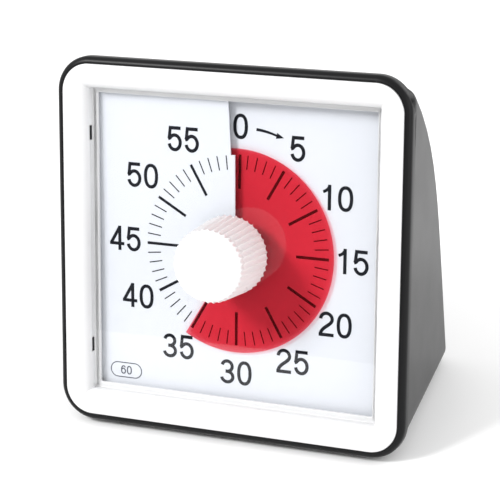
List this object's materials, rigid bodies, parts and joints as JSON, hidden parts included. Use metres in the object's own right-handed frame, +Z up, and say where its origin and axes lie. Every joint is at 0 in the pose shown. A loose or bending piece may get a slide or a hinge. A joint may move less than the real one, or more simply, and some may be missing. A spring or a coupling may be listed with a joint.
{
  "type": "visual countdown timer",
  "caption": "Square leaning countdown timer with a red disc that shrinks as time runs out, set by a ribbed knob on the dial.",
  "frame": {"origin": "centre of the bounding box at the floor, under the rubber feet", "axes": "+X to the reader's right, +Y from the reader to the back, +Z up; the face leans back 13 degrees"},
  "size_m": [0.14, 0.0903, 0.1395],
  "materials": {
    "case_plastic": "satin black, fine moulded grain",
    "bezel_plastic": "semi-gloss white",
    "clear_lens": "clear polished plastic",
    "card": "coated card, faintly blue white",
    "ink": "printed black ink",
    "red_film": "red translucent film",
    "knob_plastic": "white, soft gloss",
    "pale_plastic": "natural acetal",
    "dark_plastic": "dark moulded",
    "spring_steel": "plated steel",
    "copper_wire": "enamelled copper winding",
    "board_green": "green circuit board",
    "battery_can": null,
    "lead_red": "insulated lead",
    "foot_rubber": "dark rubber"
  },
  "bodies": {
    "housing": {"rear_case": "case_plastic", "bezel": "bezel_plastic", "lens": "clear_lens", "dial_card": "card", "dial_ticks": "ink", "dial_numerals": "ink", "chassis_plate": "dark_plastic", "movement_base": "pale_plastic", "movement_cover": "pale_plastic", "stator": "spring_steel", "coil": "copper_wire", "circuit_board": "board_green", "quartz_crystal": "spring_steel", "battery": "battery_can", "battery_cradle": "dark_plastic", "contact_spring": "spring_steel", "contact_plate": "spring_steel", "buzzer": "dark_plastic", "switch_body": "dark_plastic", "lead_wires": "lead_red", "chassis_screws": "spring_steel", "movement_screws": "spring_steel", "rubber_feet": "foot_rubber"},
    "knob_set": {"knob": "knob_plastic", "spindle": "pale_plastic", "clutch_spring": "spring_steel"},
    "disc": {"red_disc": "red_film"},
    "output": {"output_wheel": "pale_plastic"},
    "gear_a": {"wheel_a": "pale_plastic"},
    "gear_b": {"wheel_b": "pale_plastic"},
    "gear_c": {"wheel_c": "pale_plastic"},
    "rotor_gear": {"rotor": "dark_plastic"},
    "door": {"battery_door": "case_plastic"},
    "switch": {"alarm_switch": "knob_plastic"}
  },
  "joints": [
    {"name": "knob_turn", "type": "hinge", "parent": "housing", "child": "knob_set", "pos_m": [0, -0.01504, 0.06903], "axis": [0, 0.9744, -0.225], "range_deg": [-211, 147]},
    {"name": "disc_feed", "type": "slide", "parent": "knob_set", "child": "disc", "axis": [0, -0.9744, 0.225], "range_m": [-0.0018, 0.0013]},
    {"name": "wheel_a_spin", "type": "hinge", "parent": "housing", "child": "gear_a", "pos_m": [0.00718, -0.00522, 0.04931], "axis": [0, 0.9744, -0.225], "continuous": true},
    {"name": "wheel_b_spin", "type": "hinge", "parent": "housing", "child": "gear_b", "pos_m": [0.01534, -0.00374, 0.05575], "axis": [0, 0.9744, -0.225], "continuous": true},
    {"name": "wheel_c_spin", "type": "hinge", "parent": "housing", "child": "gear_c", "pos_m": [0.0168, -0.0014, 0.06588], "axis": [0, 0.9744, -0.225], "continuous": true},
    {"name": "output_spin", "type": "hinge", "parent": "housing", "child": "output", "pos_m": [0, -0.00529, 0.06678], "axis": [0, 0.9744, -0.225], "continuous": true},
    {"name": "rotor_spin", "type": "hinge", "parent": "housing", "child": "rotor_gear", "pos_m": [-0.00326, -0.00498, 0.05038], "axis": [0, 0.9744, -0.225], "continuous": true},
    {"name": "door_hinge", "type": "hinge", "parent": "housing", "child": "door", "pos_m": [0, 0.04238, 0.01518], "axis": [-1, 0, 0], "range_deg": [0, 100]},
    {"name": "switch_slide", "type": "slide", "parent": "housing", "child": "switch", "axis": [0, -0.1524, 0.9883], "range_m": [0, 0.003]}
  ],
  "couplings": [
    {"joint": "disc_feed", "follows": "knob_turn", "m_per_rad": 0.00047746},
    {"joint": "rotor_spin", "follows": "wheel_a_spin", "ratio": -6},
    {"joint": "wheel_b_spin", "follows": "wheel_a_spin", "ratio": -0.16667},
    {"joint": "wheel_c_spin", "follows": "wheel_a_spin", "ratio": 0.027778},
    {"joint": "output_spin", "follows": "wheel_a_spin", "ratio": -0.0033333}
  ]
}
